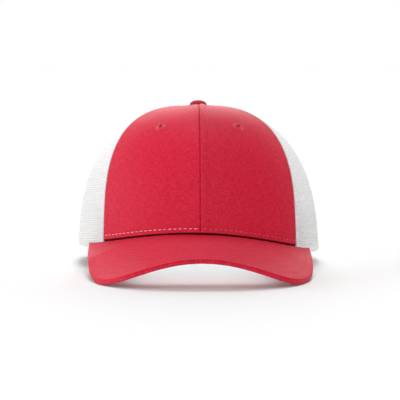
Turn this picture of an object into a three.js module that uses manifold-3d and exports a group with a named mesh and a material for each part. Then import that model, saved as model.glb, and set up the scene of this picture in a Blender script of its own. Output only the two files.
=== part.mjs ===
// A six-panel trucker hat: two stiff cloth front panels, four mesh panels, an arched visor,
// a covered button, two sewn eyelets, taped seams, a sweatband and a snap strap in a bound half-moon opening.
// Every piece of the crown is a wall cut from one curved surface, so the pieces fit each other at any size.
// The cap is built level in its own frame: x to the right of someone facing it, y to the back, z up from
// the side rim. The last group tips it back until it rests on the visor's two low points and its rear rim.
// Left in a name is -X and right is +X, as seen by someone facing the hat.
import * as THREE from "three";
import { mergeVertices } from "three/addons/utils/BufferGeometryUtils.js";
import Module from "manifold-3d";

// Driving dimensions, in millimetres and degrees.
const crownWidth = 181; // across the rim, outside
const crownLength = 204; // front to back of the rim, outside
const crownHeight = 106.5; // from the side rim to the top
const apexSetBack = 3.6; // the button sits this far behind the middle of the rim
const frontShoulder = 2.7; // roundness of the outline upward: 2 is an ellipse, more is boxier
const sideShoulder = 2.54;
const backShoulder = 2.3;
const shoulderSag = 0.06; // the soft right shoulder is rounder than the left by twice this
const crownLean = 0.03; // how much the walls close in between rim and top, as a share
const ridgeAtRim = 0.4; // share of a seam's ridge that is left at the rim
const topHoleRadius = 3;

const clothWall = 1.8; // twill on stiff backing
const meshWall = 1.2;
const clearance = 0.3; // between any two pieces

const visorLength = 70.8; // along the middle, seen from above
const visorWidth = 159.4;
const visorWall = 3.2;
const visorSlope = 13.2; // degrees downward along the middle
const visorRootHeight = 9.4; // top face at the middle of the root, above the side rim
const visorEarAngle = 61.5; // where the visor's ends reach round the crown
const visorCorner = 3.4; // roundness of the outline from above
const visorEarLap = 1.6; // width of the blunt end at each ear
const rootArchRadius = 160; // the arch across the visor, at the root
const frontArchRadius = 96; // and at the front edge
const rootTwist = 1.5; // degrees by which the root's right end hangs lower than its left

const sweatbandHeight = 30;
const sweatbandWall = 1.4;
const sweatbandLift = 0.6; // above the rim
const tapeWidth = 10;
const tapeWall = 1;
const tapeTopRadius = 11; // the tapes stop this far from the top's middle

const buttonRadius = 6.5;
const buttonHeight = 4.3;
const buttonStemRadius = 2.4;
const buttonStemLength = 3;

const eyeletHoleRadius = 1.3;
const eyeletRadius = 4.2;
const eyeletStand = 0.5; // how far it stands out of the cloth on both sides
const eyeletAcross = 0.446; // place on the front panel, from the centre seam to the side seam
const eyeletRise = 0.544; // and from the rim to the top, as a share of the quarter turn

const openingWidth = 76;
const openingHeight = 46;
const openingStraight = 8; // height of the upright sides below the half moon
const bindingReach = 6; // how far the binding laps over the mesh
const bindingWall = 1;
const bindingLift = 0.5; // its ends stay this far above the rim

const strapHeight = 17;
const strapWall = 1.4;
const strapTuck = 12; // length of each end behind the mesh
const strapLap = 30; // length of the doubled middle
const pegPitch = 8;
const pegRadius = 1.8;
const pegStand = 1;
const pegCount = 3;
const unusedHoleCount = 2;
const strapHoleRadius = 2.1;

// Seams, from the front centre round each side. The angles count round the crown from its front.
// The ridge is how far the seam stands out from the flatter middles of its panels.
const seams = [
  { name: "front", rimAngle: 0, topAngle: 0, ridge: 3 },
  { name: "side", rimAngle: 49.7, topAngle: 63, ridge: 1.4 },
  { name: "rear", rimAngle: 116, topAngle: 120, ridge: 1.4 },
  { name: "back", rimAngle: 180, topAngle: 180, ridge: 1.4 },
];
const seamStraightens = 1; // share of the rise above which a seam keeps its top angle

// Panels between two seams, for the right side. The left side mirrors them.
const panels = [
  { name: "front_panel", from: 0, to: 1, wall: clothWall, finish: "cloth", eyelet: true },
  { name: "side_mesh", from: 1, to: 2, wall: meshWall, finish: "mesh" },
  { name: "back_mesh", from: 2, to: 3, wall: meshWall, finish: "mesh", opening: true },
];

// Grid steps of the faceted walls.
const panelSteps = { across: 11, up: 17 };
const visorSteps = { across: 44, out: 8 };
const bandSteps = { around: 60, up: 3 };
const tapeSteps = { across: 2 };
const bindingSteps = 26;
const strapSteps = { around: 16, up: 1 };
const roundSides = 18;

const materials = {
  cloth: new THREE.MeshStandardMaterial({ color: 0xc9283d, roughness: 0.9, metalness: 0 }),
  mesh: new THREE.MeshStandardMaterial({ color: 0xe8e8e6, roughness: 0.8, metalness: 0 }),
  tape: new THREE.MeshStandardMaterial({ color: 0xf0f0ee, roughness: 0.9, metalness: 0 }),
  strap: new THREE.MeshStandardMaterial({ color: 0xf2f2f0, roughness: 0.45, metalness: 0 }),
  thread: new THREE.MeshStandardMaterial({ color: 0xc4243a, roughness: 0.6, metalness: 0 }),
};

const wasm = await Module();
wasm.setup();

const { clamp, degToRad, lerp, radToDeg, smoothstep } = THREE.MathUtils;

// The visor's top face as a height over the plan: it slopes down to the front and arches across,
// more tightly towards the front edge.
const rootY = -crownLength / 2;
const visorTilt = Math.tan(degToRad(visorSlope));

function visorTop(x, y) {
  const ahead = rootY - y;
  const share = clamp(ahead / visorLength, 0, 1);
  const bend = lerp(1 / (2 * rootArchRadius), 1 / (2 * frontArchRadius), share);
  const twist = Math.tan(degToRad(rootTwist)) * x * Math.max(0, 1 - 2 * share);
  return visorRootHeight - visorTilt * ahead - bend * x * x - twist;
}

// The underside is lower by the wall, measured square to the face.
function visorBottom(x, y) {
  const step = 0.1;
  const top = visorTop(x, y);
  const slopeX = (visorTop(x + step, y) - top) / step;
  const slopeY = (visorTop(x, y + step) - top) / step;
  return top - visorWall * Math.hypot(1, slopeX, slopeY);
}

// The visor's outer edge from above, from -1 at the left ear to 1 at the right.
const earY = rootY * Math.cos(degToRad(visorEarAngle));
function visorEdge(share) {
  const turn = (share * Math.PI) / 2;
  const power = 2 / visorCorner;
  const reach = visorLength + earY - rootY - visorEarLap;
  return {
    x: (visorWidth / 2) * Math.sign(turn) * Math.abs(Math.sin(turn)) ** power,
    y: earY - visorEarLap - reach * Math.max(0, Math.cos(turn)) ** power,
  };
}

function edgeShare(index) {
  return (2 * index) / visorSteps.across - 1;
}

// At rest the cap stands on a plane through its rear rim and the visor's low points.
const rearY = crownLength / 2;
const edgeSlopes = Array.from({ length: visorSteps.across + 1 }, (_, i) => {
  const edge = visorEdge(edgeShare(i));
  return -visorBottom(edge.x, edge.y) / (rearY - edge.y);
});
const restSlope = Math.max(...edgeSlopes);

function restPlane(y) {
  return restSlope * (y - rearY);
}

// The rim: under the visor in front, level at the sides, flat on the rest plane at the rear.
const rimFallsTo = 100;
const rimMeetsFloorFrom = 128;
const rimMeetsFloorTo = 157;

function planAt(angle) {
  const turn = degToRad(angle);
  return { x: (crownWidth / 2) * Math.sin(turn), y: rootY * Math.cos(turn) };
}

function rimHeight(angle, y) {
  const side = Math.abs(angle);
  const held = planAt(Math.min(side, visorEarAngle));
  const front = visorBottom(held.x, held.y) * (1 - smoothstep(side, visorEarAngle, rimFallsTo));
  return lerp(front, restPlane(y), smoothstep(side, rimMeetsFloorFrom, rimMeetsFloorTo));
}

// The crown's surface without its seam ridges. The rise goes from 0 at the rim to 1 at the top.
function shoulderAt(angle) {
  const facing = Math.cos(degToRad(angle));
  const ended = facing > 0 ? frontShoulder : backShoulder;
  const sided = sideShoulder - shoulderSag * Math.sin(degToRad(angle));
  return lerp(sided, ended, facing * facing);
}

function spreadAt(angle, rise) {
  return Math.max(0, Math.cos((rise * Math.PI) / 2)) ** (2 / shoulderAt(angle));
}

function crownBase(angle, rise) {
  const spread = spreadAt(angle, rise);
  const lift = Math.sin((rise * Math.PI) / 2) ** (2 / shoulderAt(angle));
  const plan = planAt(angle);
  const rim = rimHeight(angle, plan.y);
  return new THREE.Vector3(
    plan.x * spread * (1 - crownLean * lift),
    plan.y * spread * (1 - crownLean * lift) + apexSetBack * (1 - spread),
    rim + (crownHeight - rim) * lift,
  );
}

function crownNormal(angle, rise) {
  const around = crownBase(angle + 1, rise).sub(crownBase(angle - 1, rise));
  const low = clamp(rise - 0.005, 0, 0.985);
  const up = crownBase(angle, low + 0.01).sub(crownBase(angle, low));
  return around.cross(up).normalize();
}

function seamAngle(seam, rise) {
  return lerp(seam.rimAngle, seam.topAngle, smoothstep(rise, 0, seamStraightens));
}

// Seams stand out, and each panel is flatter between its two seams.
function ridgeAt(angle, rise) {
  const side = Math.min(Math.abs(angle), 360 - Math.abs(angle));
  const next = clamp(seams.findIndex((seam) => seamAngle(seam, rise) >= side), 1, seams.length - 1);
  const from = seamAngle(seams[next - 1], rise);
  const across = clamp((side - from) / (seamAngle(seams[next], rise) - from), 0, 1);
  const tall = lerp(seams[next - 1].ridge, seams[next].ridge, across);
  const grown = lerp(ridgeAtRim, 1, smoothstep(rise, 0, 0.3));
  return tall * grown * (2 * across - 1) ** 2 * spreadAt(angle, rise);
}

// A point at a depth inside the crown's outer face.
function onCrown(angle, rise, depth) {
  const normal = crownNormal(angle, rise);
  const point = crownBase(angle, rise).addScaledVector(normal, ridgeAt(angle, rise) - depth);
  if (rise === 0) point.z = rimHeight(angle, point.y);
  return point;
}

// The rise at a height above the rim, and the rise at a radius from the top's middle.
function riseAtHeight(angle, height) {
  const plan = planAt(angle);
  const share = clamp(height / (crownHeight - rimHeight(angle, plan.y)), 0, 1);
  return (Math.asin(share ** (shoulderAt(angle) / 2)) * 2) / Math.PI;
}

function riseAtRadius(angle, radius) {
  const plan = planAt(angle);
  const share = radius / Math.hypot(plan.x, plan.y);
  return (Math.acos(share ** (shoulderAt(angle) / 2)) * 2) / Math.PI;
}

// A small length along the crown, as an angle round it.
function angleFor(length, angle, rise) {
  const ahead = crownBase(angle + 1, rise).distanceTo(crownBase(angle, rise));
  return length / ahead;
}

// A closed wall between two faces. face(u, v, side) gives a point, with side 0 outside and 1 inside.
function wallGeometry(across, up, face) {
  const positions = [];
  const index = [];
  const row = across + 1;
  const layer = row * (up + 1);
  for (const side of [0, 1]) {
    for (let j = 0; j <= up; j += 1) {
      for (let i = 0; i <= across; i += 1) {
        positions.push(...face(i / across, j / up, side).toArray());
      }
    }
  }
  const quad = (a, b, c, d) => index.push(a, b, c, a, c, d);
  for (let j = 0; j < up; j += 1) {
    for (let i = 0; i < across; i += 1) {
      const a = j * row + i;
      quad(a, a + 1, a + row + 1, a + row);
      quad(layer + a, layer + a + row, layer + a + row + 1, layer + a + 1);
    }
  }
  for (let i = 0; i < across; i += 1) {
    const top = up * row + i;
    quad(i, layer + i, layer + i + 1, i + 1);
    quad(top, top + 1, layer + top + 1, layer + top);
  }
  for (let j = 0; j < up; j += 1) {
    const left = j * row;
    const right = left + across;
    quad(left, left + row, layer + left + row, layer + left);
    quad(right, layer + right, layer + right + row, right + row);
  }
  return closedGeometry(positions, index);
}

// A closed sweep of an outline drawn clockwise: section(share) gives the corners of one ring.
function sweepGeometry(outline, rings, section) {
  const positions = [];
  const index = [];
  const size = outline.length;
  for (let i = 0; i <= rings; i += 1) {
    section(i / rings).forEach((point) => positions.push(...point.toArray()));
  }
  for (let i = 0; i < rings; i += 1) {
    for (let k = 0; k < size; k += 1) {
      const a = i * size + k;
      const b = i * size + ((k + 1) % size);
      index.push(a, b, b + size, a, b + size, a + size);
    }
  }
  const last = rings * size;
  for (const [a, b, c] of THREE.ShapeUtils.triangulateShape(outline, [])) {
    index.push(a, b, c);
    index.push(last + a, last + c, last + b);
  }
  return closedGeometry(positions, index);
}

// Builds the geometry and turns its faces outward.
function closedGeometry(positions, index) {
  const at = (i) => new THREE.Vector3().fromArray(positions, 3 * i);
  let volume = 0;
  for (let i = 0; i < index.length; i += 3) {
    volume += at(index[i]).dot(at(index[i + 1]).cross(at(index[i + 2])));
  }
  const turned = volume < 0 ? index.slice().reverse() : index;
  const geometry = new THREE.BufferGeometry();
  geometry.setAttribute("position", new THREE.Float32BufferAttribute(positions, 3));
  geometry.setIndex(turned);
  return geometry;
}

// Joins and cuts with manifold-3d.
function toSolid(source) {
  const geometry = source.clone();
  geometry.deleteAttribute("normal");
  geometry.deleteAttribute("uv");
  const merged = mergeVertices(geometry, 1e-4);
  return new wasm.Manifold(
    new wasm.Mesh({
      numProp: 3,
      vertProperties: merged.attributes.position.array,
      triVerts: new Uint32Array(merged.index.array),
    }),
  );
}

function fromSolid(solid) {
  const made = solid.getMesh();
  const geometry = new THREE.BufferGeometry();
  geometry.setAttribute("position", new THREE.Float32BufferAttribute(made.vertProperties, 3));
  geometry.setIndex(new THREE.Uint32BufferAttribute(made.triVerts, 1));
  return geometry;
}

const cap = new THREE.Group();

function addPiece(name, geometry, finish) {
  geometry.computeVertexNormals();
  const mesh = new THREE.Mesh(geometry, materials[finish]);
  mesh.name = name;
  cap.add(mesh);
  return mesh;
}

// Panels, in rows from the rim to the hole under the button.
function panelGeometry(panel, hand) {
  const half = clearance / 2;
  return wallGeometry(panelSteps.across, panelSteps.up, (u, v, side) => {
    const atTop = lerp(seams[panel.from].topAngle, seams[panel.to].topAngle, u);
    const rise = v * riseAtRadius(hand * atTop, topHoleRadius);
    const from = seamAngle(seams[panel.from], rise);
    const to = seamAngle(seams[panel.to], rise);
    const angle = lerp(from + angleFor(half, from, rise), to - angleFor(half, to, rise), u);
    return onCrown(hand * angle, rise, side * panel.wall);
  });
}

// Where an eyelet goes, with its axis out of the cloth.
function eyeletPlace(hand) {
  const angle = hand * lerp(seamAngle(seams[0], eyeletRise), seamAngle(seams[1], eyeletRise), eyeletAcross);
  return {
    middle: onCrown(angle, eyeletRise, clothWall / 2),
    turn: new THREE.Quaternion().setFromUnitVectors(
      new THREE.Vector3(0, 1, 0),
      crownNormal(angle, eyeletRise),
    ),
  };
}

function placed(geometry, place) {
  const pose = new THREE.Matrix4().compose(place.middle, place.turn, new THREE.Vector3(1, 1, 1));
  return geometry.applyMatrix4(pose);
}

function eyeletCut(hand) {
  const radius = eyeletRadius + clearance;
  return placed(new THREE.CylinderGeometry(radius, radius, 4 * clothWall, roundSides), eyeletPlace(hand));
}

// The place on the back's outer face at a distance across and a height above the rim.
function onBack(x, height) {
  const angle = { degrees: rearAngle(x), rise: 0 };
  for (let tries = 0; tries < 8; tries += 1) {
    angle.rise = riseAtHeight(angle.degrees, Math.max(0, height));
    const unit = crownBase(angle.degrees, angle.rise).x / Math.sin(degToRad(angle.degrees));
    angle.degrees = 180 - radToDeg(Math.asin(x / unit));
  }
  const point = onCrown(angle.degrees, angle.rise, 0);
  point.z += Math.min(0, height);
  return { point, normal: crownNormal(angle.degrees, angle.rise) };
}

function rearAngle(x) {
  return 180 - radToDeg(Math.asin((2 * x) / crownWidth));
}

// Half-moon outline, from the right foot over the top to the left foot, moved outward by a margin.
function openingOutline(share, margin) {
  const half = openingWidth / 2 + margin;
  const arch = openingHeight - openingStraight + margin;
  const foot = openingStraight / (2 * openingStraight + Math.PI * arch);
  const turn = clamp((share - foot) / (1 - 2 * foot), 0, 1) * Math.PI;
  const drop = Math.min(share / foot, (1 - share) / foot, 1);
  return { x: half * Math.cos(turn), height: openingStraight * drop + arch * Math.sin(turn) };
}

// The solid that cuts the half moon, square through the wall.
function openingCut() {
  const below = -3;
  return wallGeometry(bindingSteps, 1, (u, v, side) => {
    const arch = openingOutline(u, 0);
    const base = (openingWidth / 2) * (1 - 2 * u);
    const surface = onBack(lerp(arch.x, base, v), lerp(arch.height, below, v));
    return surface.point.addScaledVector(surface.normal, lerp(6, -8, side));
  });
}

for (const [label, hand] of [["left", -1], ["right", 1]]) {
  for (const panel of panels) {
    let geometry = panelGeometry(panel, hand);
    if (panel.eyelet) geometry = fromSolid(toSolid(geometry).subtract(toSolid(eyeletCut(hand))));
    if (panel.opening) geometry = fromSolid(toSolid(geometry).subtract(toSolid(openingCut())));
    addPiece(`${panel.name}_${label}`, geometry, panel.finish);
  }
}

// Eyelets: a sewn ring that fills its hole in the cloth.
function eyeletGeometry(hand) {
  const half = clothWall / 2 + eyeletStand;
  const inner = eyeletHoleRadius;
  const outer = eyeletRadius;
  const bevel = eyeletStand;
  const profile = [
    [inner, bevel - half],
    [inner + bevel, -half],
    [outer - bevel, -half],
    [outer, bevel - half],
    [outer, half - bevel],
    [outer - bevel, half],
    [inner + bevel, half],
    [inner, half - bevel],
    [inner, bevel - half],
  ].map(([x, y]) => new THREE.Vector2(x, y));
  return placed(new THREE.LatheGeometry(profile, roundSides), eyeletPlace(hand));
}
addPiece("eyelet_left", eyeletGeometry(-1), "thread");
addPiece("eyelet_right", eyeletGeometry(1), "thread");

// Button: a covered dome over the top hole, with its stem through the hole.
const buttonSeat = 2 * clearance;
const domeSteps = 6;
const buttonProfile = [
  new THREE.Vector2(0, -buttonStemLength),
  new THREE.Vector2(buttonStemRadius, -buttonStemLength),
  new THREE.Vector2(buttonStemRadius, buttonSeat),
];
for (let i = 0; i <= domeSteps; i += 1) {
  const turn = (i / domeSteps) * (Math.PI / 2);
  const radius = i === domeSteps ? 0 : buttonRadius * Math.cos(turn);
  buttonProfile.push(new THREE.Vector2(radius, buttonSeat + buttonHeight * Math.sin(turn)));
}
const button = addPiece("button", new THREE.LatheGeometry(buttonProfile, roundSides), "cloth");
button.rotation.x = Math.PI / 2;
button.position.set(0, apexSetBack, crownHeight);

// Visor
function visorRoot(share) {
  return onCrown(share * visorEarAngle, 0, -clearance);
}

const visorGeometry = wallGeometry(visorSteps.across, visorSteps.out, (u, v, side) => {
  const root = visorRoot(2 * u - 1);
  const edge = visorEdge(2 * u - 1);
  const x = lerp(root.x, edge.x, v);
  const y = lerp(root.y, edge.y, v);
  return new THREE.Vector3(x, y, side === 0 ? visorTop(x, y) : visorBottom(x, y));
});
addPiece("visor", visorGeometry, "cloth");

// Section of the folded binding: b runs from the cut edge into the mesh, n out of the crown.
const bindingOut = clearance + bindingWall;
const bindingIn = -meshWall - bindingOut;
const channelOutline = [
  new THREE.Vector2(-bindingOut, bindingOut),
  new THREE.Vector2(bindingReach, bindingOut),
  new THREE.Vector2(bindingReach, clearance),
  new THREE.Vector2(-clearance, clearance),
  new THREE.Vector2(-clearance, -meshWall - clearance),
  new THREE.Vector2(bindingReach, -meshWall - clearance),
  new THREE.Vector2(bindingReach, bindingIn),
  new THREE.Vector2(-bindingOut, bindingIn),
];
const bindingGeometry = sweepGeometry(channelOutline, bindingSteps, (share) =>
  channelOutline.map((corner) => {
    const place = openingOutline(share, corner.x);
    const surface = onBack(place.x, Math.max(place.height, bindingLift));
    return surface.point.addScaledVector(surface.normal, corner.y);
  }),
);
addPiece("opening_binding", bindingGeometry, "tape");

// A band that follows the inside of the crown between two heights above the rim.
function bandGeometry(steps, fromAngle, toAngle, low, high, outerDepth, innerDepth) {
  return wallGeometry(steps.around, steps.up, (u, v, side) => {
    const angle = lerp(fromAngle, toAngle, u);
    const rise = riseAtHeight(angle, lerp(low, high, v));
    const depth = (side === 0 ? outerDepth : innerDepth) + ridgeAt(angle, rise);
    return onCrown(angle, rise, depth);
  });
}

// The snap strap, as fastened: two ends behind the mesh and a doubled middle.
const strapHalf = openingWidth / 2 + strapTuck;
const strapDepth = meshWall + bindingOut + clearance;
const strapBand = bandGeometry(
  strapSteps,
  rearAngle(strapHalf),
  rearAngle(-strapHalf),
  0,
  strapHeight,
  strapDepth,
  strapDepth + strapWall,
);
const strapJoin = 0.4; // the doubled layer bites this far into the band
const strapInset = 0.6; // and is narrower by this at each edge
const strapDouble = bandGeometry(
  strapSteps,
  rearAngle(strapLap / 2),
  rearAngle(-strapLap / 2),
  strapInset,
  strapHeight - strapInset,
  strapDepth - strapWall,
  strapDepth + strapJoin,
);

function strapBolt(x, radius, from, to) {
  const angle = rearAngle(x);
  const rise = riseAtHeight(angle, strapHeight / 2);
  const normal = crownNormal(angle, rise);
  const axis = new THREE.Vector3(0, 1, 0);
  const middle = crownBase(angle, rise).addScaledVector(normal, -(from + to) / 2);
  const turn = new THREE.Quaternion().setFromUnitVectors(axis, normal);
  return placed(new THREE.CylinderGeometry(radius, radius, to - from, roundSides / 2), { middle, turn });
}

let strapSolid = toSolid(strapBand).add(toSolid(strapDouble));
for (let i = 0; i < pegCount; i += 1) {
  const x = (i - (pegCount - 1) / 2) * pegPitch;
  const peg = strapBolt(x, pegRadius, strapDepth - strapWall - pegStand, strapDepth);
  strapSolid = strapSolid.add(toSolid(peg));
}
for (let i = 0; i < unusedHoleCount; i += 1) {
  const x = -strapLap / 2 - (i + 0.5) * pegPitch;
  const hole = strapBolt(x, strapHoleRadius, strapDepth - strapWall, strapDepth + 2 * strapWall);
  strapSolid = strapSolid.subtract(toSolid(hole));
}
addPiece("snap_strap", fromSolid(strapSolid), "strap");

// Sweatband: round the inside of the rim, from one end of the strap to the other.
const bandEnd = rearAngle(strapHalf + 2 * clearance);
const sweatbandDepth = clothWall + clearance;
const sweatbandGeometry = bandGeometry(
  bandSteps,
  -bandEnd,
  bandEnd,
  sweatbandLift,
  sweatbandHeight,
  sweatbandDepth,
  sweatbandDepth + sweatbandWall,
);
addPiece("sweatband", sweatbandGeometry, "tape");

// Seam tapes on the inside, in the panels' rows from above the sweatband or the opening to near the top.
function tapeGeometry(seam, hand, low, wall) {
  const topRise = riseAtRadius(hand * seam.topAngle, topHoleRadius);
  const first = Math.ceil((riseAtHeight(hand * seam.rimAngle, low) / topRise) * panelSteps.up);
  const last = Math.floor((riseAtRadius(hand * seam.topAngle, tapeTopRadius) / topRise) * panelSteps.up);
  return wallGeometry(tapeSteps.across, last - first, (u, v, side) => {
    const rise = (lerp(first, last, v) / panelSteps.up) * topRise;
    const middle = seamAngle(seam, rise);
    const angle = middle + (u - 0.5) * angleFor(tapeWidth, middle, rise);
    return onCrown(hand * angle, rise, wall + clearance + side * tapeWall);
  });
}
const overBand = sweatbandHeight + clearance;
const overOpening = openingHeight + bindingReach + 2 * clearance;
const [frontSeam, sideSeam, rearSeam, backSeam] = seams;
addPiece("front_seam_tape", tapeGeometry(frontSeam, 1, overBand, clothWall), "tape");
addPiece("back_seam_tape", tapeGeometry(backSeam, 1, overOpening, meshWall), "tape");
for (const [label, hand] of [["left", -1], ["right", 1]]) {
  addPiece(`side_seam_tape_${label}`, tapeGeometry(sideSeam, hand, overBand, clothWall), "tape");
  addPiece(`rear_seam_tape_${label}`, tapeGeometry(rearSeam, hand, overBand, meshWall), "tape");
}

// Rest: tip the cap back on to the plane, and put the middle of its footprint at the origin.
cap.rotation.x = -Math.atan(restSlope);
const hat = new THREE.Group();
hat.add(cap);
hat.updateMatrixWorld(true);
const bounds = new THREE.Box3().setFromObject(hat, true);
const middle = bounds.getCenter(new THREE.Vector3());
cap.position.set(-middle.x, -middle.y, -bounds.min.z);

export default hat;
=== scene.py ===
# %% [markdown]
# # A trucker hat, dressed in cloth, mesh and thread
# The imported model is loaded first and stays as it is. Every visible piece below is a new mesh that lies
# where its CAD node lies, follows the same crown surface, and carries the detail of the real thing.

# %% Load the frame
import math

import bpy
import numpy as np
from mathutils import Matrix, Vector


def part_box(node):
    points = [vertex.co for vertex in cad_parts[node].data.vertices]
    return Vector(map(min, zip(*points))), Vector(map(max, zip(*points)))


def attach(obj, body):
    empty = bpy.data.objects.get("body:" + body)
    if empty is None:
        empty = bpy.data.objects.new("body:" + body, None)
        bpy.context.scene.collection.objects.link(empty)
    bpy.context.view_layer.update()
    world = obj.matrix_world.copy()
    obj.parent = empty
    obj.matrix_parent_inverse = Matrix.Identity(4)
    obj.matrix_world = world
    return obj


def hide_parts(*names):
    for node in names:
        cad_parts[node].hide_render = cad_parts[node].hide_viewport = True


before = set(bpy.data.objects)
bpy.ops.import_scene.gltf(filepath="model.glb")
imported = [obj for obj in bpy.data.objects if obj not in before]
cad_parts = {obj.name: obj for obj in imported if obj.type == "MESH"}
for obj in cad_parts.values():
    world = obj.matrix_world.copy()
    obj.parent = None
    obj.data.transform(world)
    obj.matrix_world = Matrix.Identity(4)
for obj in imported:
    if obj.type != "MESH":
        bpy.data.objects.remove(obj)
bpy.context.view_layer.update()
BODY = "root"
print("nodes in the frame:", len(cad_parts))

# %% [markdown]
# ## The cap's own frame
# The crown is one curved surface, worked out from a few driving sizes in millimetres, level, with its front
# towards -Y. The visor's height over the plan comes first, because the hat rests on the visor: the slope of
# the plane through its low points and the rear rim tips the level cap back to where the frame holds it.

# %% Driving sizes, in millimetres and degrees
CROWN_WIDTH, CROWN_LENGTH, CROWN_HEIGHT = 181.0, 204.0, 106.5
APEX_SET_BACK = 3.6
FRONT_SHOULDER, SIDE_SHOULDER, BACK_SHOULDER, SHOULDER_SAG = 2.7, 2.54, 2.3, 0.06
CROWN_LEAN, RIDGE_AT_RIM = 0.03, 0.4
TOP_HOLE_RADIUS = 3.0
CLOTH_WALL, MESH_WALL, CLEARANCE = 1.8, 1.2, 0.3
VISOR_LENGTH, VISOR_WIDTH, VISOR_WALL = 70.8, 159.4, 3.2
VISOR_SLOPE, VISOR_ROOT_HEIGHT, VISOR_EAR_ANGLE = 13.2, 9.4, 61.5
VISOR_CORNER, VISOR_EAR_LAP = 3.4, 1.6
ROOT_ARCH_RADIUS, FRONT_ARCH_RADIUS, ROOT_TWIST = 160.0, 96.0, 1.5
RIM_FALLS_TO, RIM_MEETS_FLOOR_FROM, RIM_MEETS_FLOOR_TO = 100.0, 128.0, 157.0
SEAM_STRAIGHTENS = 1.0
# Seams from the front centre round a side: angle at the rim, angle at the top, ridge height.
SEAMS = {
    "front": (0.0, 0.0, 3.0),
    "side": (49.7, 63.0, 1.4),
    "rear": (116.0, 120.0, 1.4),
    "back": (180.0, 180.0, 1.4),
}
ROUND_THE_SIDE = list(SEAMS)
SIDES = {"left": -1.0, "right": 1.0}


# %% Small helpers for numbers
def lerp(a, b, t):
    return a + (b - a) * t


def smooth(x, low, high):
    t = np.clip((x - low) / (high - low), 0.0, 1.0)
    return t * t * (3.0 - 2.0 * t)


def stack(x, y, z):
    return np.stack(np.broadcast_arrays(x, y, z), axis=-1).astype(float)


# %% The visor's two faces
ROOT_Y = -CROWN_LENGTH / 2
EAR_Y = ROOT_Y * math.cos(math.radians(VISOR_EAR_ANGLE))


def visor_top(x, y):
    ahead = ROOT_Y - y
    share = np.clip(ahead / VISOR_LENGTH, 0.0, 1.0)
    bend = lerp(0.5 / ROOT_ARCH_RADIUS, 0.5 / FRONT_ARCH_RADIUS, share)
    twist = math.tan(math.radians(ROOT_TWIST)) * x * np.maximum(0.0, 1.0 - 2.0 * share)
    return VISOR_ROOT_HEIGHT - math.tan(math.radians(VISOR_SLOPE)) * ahead - bend * x * x - twist


def visor_slopes(x, y, step=0.1):
    top = visor_top(x, y)
    return (visor_top(x + step, y) - top) / step, (visor_top(x, y + step) - top) / step


def visor_bottom(x, y):
    slope_x, slope_y = visor_slopes(x, y)
    return visor_top(x, y) - VISOR_WALL * np.sqrt(1.0 + slope_x**2 + slope_y**2)


def visor_edge(share, inset=0.0):
    """The outer edge from above, from -1 at the left ear to 1 at the right, drawn in by an inset."""
    turn = share * math.pi / 2
    power = 2.0 / VISOR_CORNER
    reach = VISOR_LENGTH + EAR_Y - ROOT_Y - VISOR_EAR_LAP - inset
    x = (VISOR_WIDTH / 2 - inset) * np.sign(turn) * np.abs(np.sin(turn)) ** power
    y = EAR_Y - VISOR_EAR_LAP - reach * np.maximum(0.0, np.cos(turn)) ** power
    return x, y


# %% From the level cap to the frame
REAR_Y = CROWN_LENGTH / 2
edge_x, edge_y = visor_edge(np.linspace(-1, 1, 45))
edge_low = visor_bottom(edge_x, edge_y)
REST_SLOPE = float(np.max(-edge_low / (REAR_Y - edge_y)))
REST_TILT = math.atan(REST_SLOPE)
turned_y = edge_y * math.cos(REST_TILT) + edge_low * math.sin(REST_TILT)
SHIFT_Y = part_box("visor")[0][1] * 1000 - float(turned_y.min())
SHIFT_Z = REAR_Y * math.sin(REST_TILT)


def to_frame(points):
    """Level cap, in millimetres, to the frame, in metres."""
    x, y, z = np.moveaxis(np.asarray(points, float), -1, 0)
    back = y * math.cos(REST_TILT) + z * math.sin(REST_TILT) + SHIFT_Y
    up = z * math.cos(REST_TILT) - y * math.sin(REST_TILT) + SHIFT_Z
    return stack(x, back, up) / 1000.0


print("rest tilt in degrees:", round(math.degrees(REST_TILT), 3))


# %% The crown's surface
def plan_at(angle):
    turn = np.radians(angle)
    return CROWN_WIDTH / 2 * np.sin(turn), ROOT_Y * np.cos(turn)


def rim_height(angle, y):
    side = np.abs(angle)
    held = plan_at(np.minimum(side, VISOR_EAR_ANGLE))
    front = visor_bottom(*held) * (1.0 - smooth(side, VISOR_EAR_ANGLE, RIM_FALLS_TO))
    floor = REST_SLOPE * (y - REAR_Y)
    return lerp(front, floor, smooth(side, RIM_MEETS_FLOOR_FROM, RIM_MEETS_FLOOR_TO))


def shoulder_at(angle):
    facing = np.cos(np.radians(angle))
    ended = np.where(facing > 0, FRONT_SHOULDER, BACK_SHOULDER)
    sided = SIDE_SHOULDER - SHOULDER_SAG * np.sin(np.radians(angle))
    return lerp(sided, ended, facing * facing)


def spread_at(angle, rise):
    return np.maximum(0.0, np.cos(rise * math.pi / 2)) ** (2.0 / shoulder_at(angle))


def crown_base(angle, rise):
    spread = spread_at(angle, rise)
    lift = np.maximum(0.0, np.sin(rise * math.pi / 2)) ** (2.0 / shoulder_at(angle))
    x, y = plan_at(angle)
    rim = rim_height(angle, y)
    closed = spread * (1.0 - CROWN_LEAN * lift)
    return stack(x * closed, y * closed + APEX_SET_BACK * (1.0 - spread), rim + (CROWN_HEIGHT - rim) * lift)


def crown_normal(angle, rise):
    around = crown_base(angle + 1.0, rise) - crown_base(angle - 1.0, rise)
    low = np.clip(rise - 0.005, 0.0, 0.985)
    up = crown_base(angle, low + 0.01) - crown_base(angle, low)
    normal = np.cross(around, up)
    return normal / np.linalg.norm(normal, axis=-1, keepdims=True)


def seam_angle(seam, rise):
    at_rim, at_top, _ = SEAMS[seam]
    return lerp(at_rim, at_top, smooth(rise, 0.0, SEAM_STRAIGHTENS))


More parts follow.
